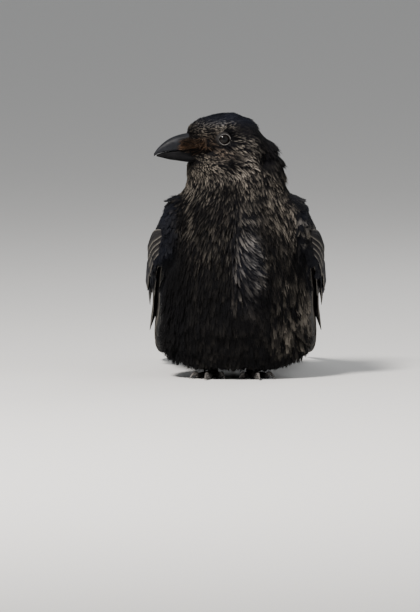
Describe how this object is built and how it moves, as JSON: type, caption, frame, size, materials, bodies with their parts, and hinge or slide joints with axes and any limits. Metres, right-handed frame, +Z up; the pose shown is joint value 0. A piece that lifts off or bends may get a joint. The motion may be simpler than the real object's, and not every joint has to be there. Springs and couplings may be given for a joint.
{
  "type": "carrion crow",
  "caption": "Life-size still model of an all-black crow, standing square on with its plumage loose, wings folded and drooped, head turned to its right.",
  "frame": {"origin": "centre of the bounding box at floor level", "axes": "+Z up, -Y is the way the bird's breast faces, +Y towards its tail, +X is the bird's left side"},
  "size_m": [0.166, 0.3294, 0.2447],
  "materials": {
    "plumage": "soft black body feathers, warm brown-grey where light grazes them, violet-blue gloss on crown and mantle",
    "flight_feathers": "smooth black vanes with a blue-violet gloss and a darker shaft",
    "horn": "charcoal horn, satin, slightly bluish, paler at worn edges",
    "scales": "black scaled skin, dull satin",
    "eye": "very dark brown, wet gloss"
  },
  "bodies": {
    "root": {"head": "plumage", "bill_upper": "horn", "bill_lower": "horn", "eye_left": "eye", "eye_right": "eye", "neck": "plumage", "trunk": "plumage", "rump": "plumage", "tail": "flight_feathers", "wing_arm_left": "flight_feathers", "secondaries_left": "flight_feathers", "primaries_left": "flight_feathers", "thigh_left": "plumage", "tarsus_left": "scales", "toe_middle_left": "scales", "claw_middle_left": "horn", "toe_inner_left": "scales", "claw_inner_left": "horn", "toe_outer_left": "scales", "claw_outer_left": "horn", "toe_hind_left": "scales", "claw_hind_left": "horn", "wing_arm_right": "flight_feathers", "secondaries_right": "flight_feathers", "primaries_right": "flight_feathers", "thigh_right": "plumage", "tarsus_right": "scales", "toe_middle_right": "scales", "claw_middle_right": "horn", "toe_inner_right": "scales", "claw_inner_right": "horn", "toe_outer_right": "scales", "claw_outer_right": "horn", "toe_hind_right": "scales", "claw_hind_right": "horn"}
  },
  "joints": []
}
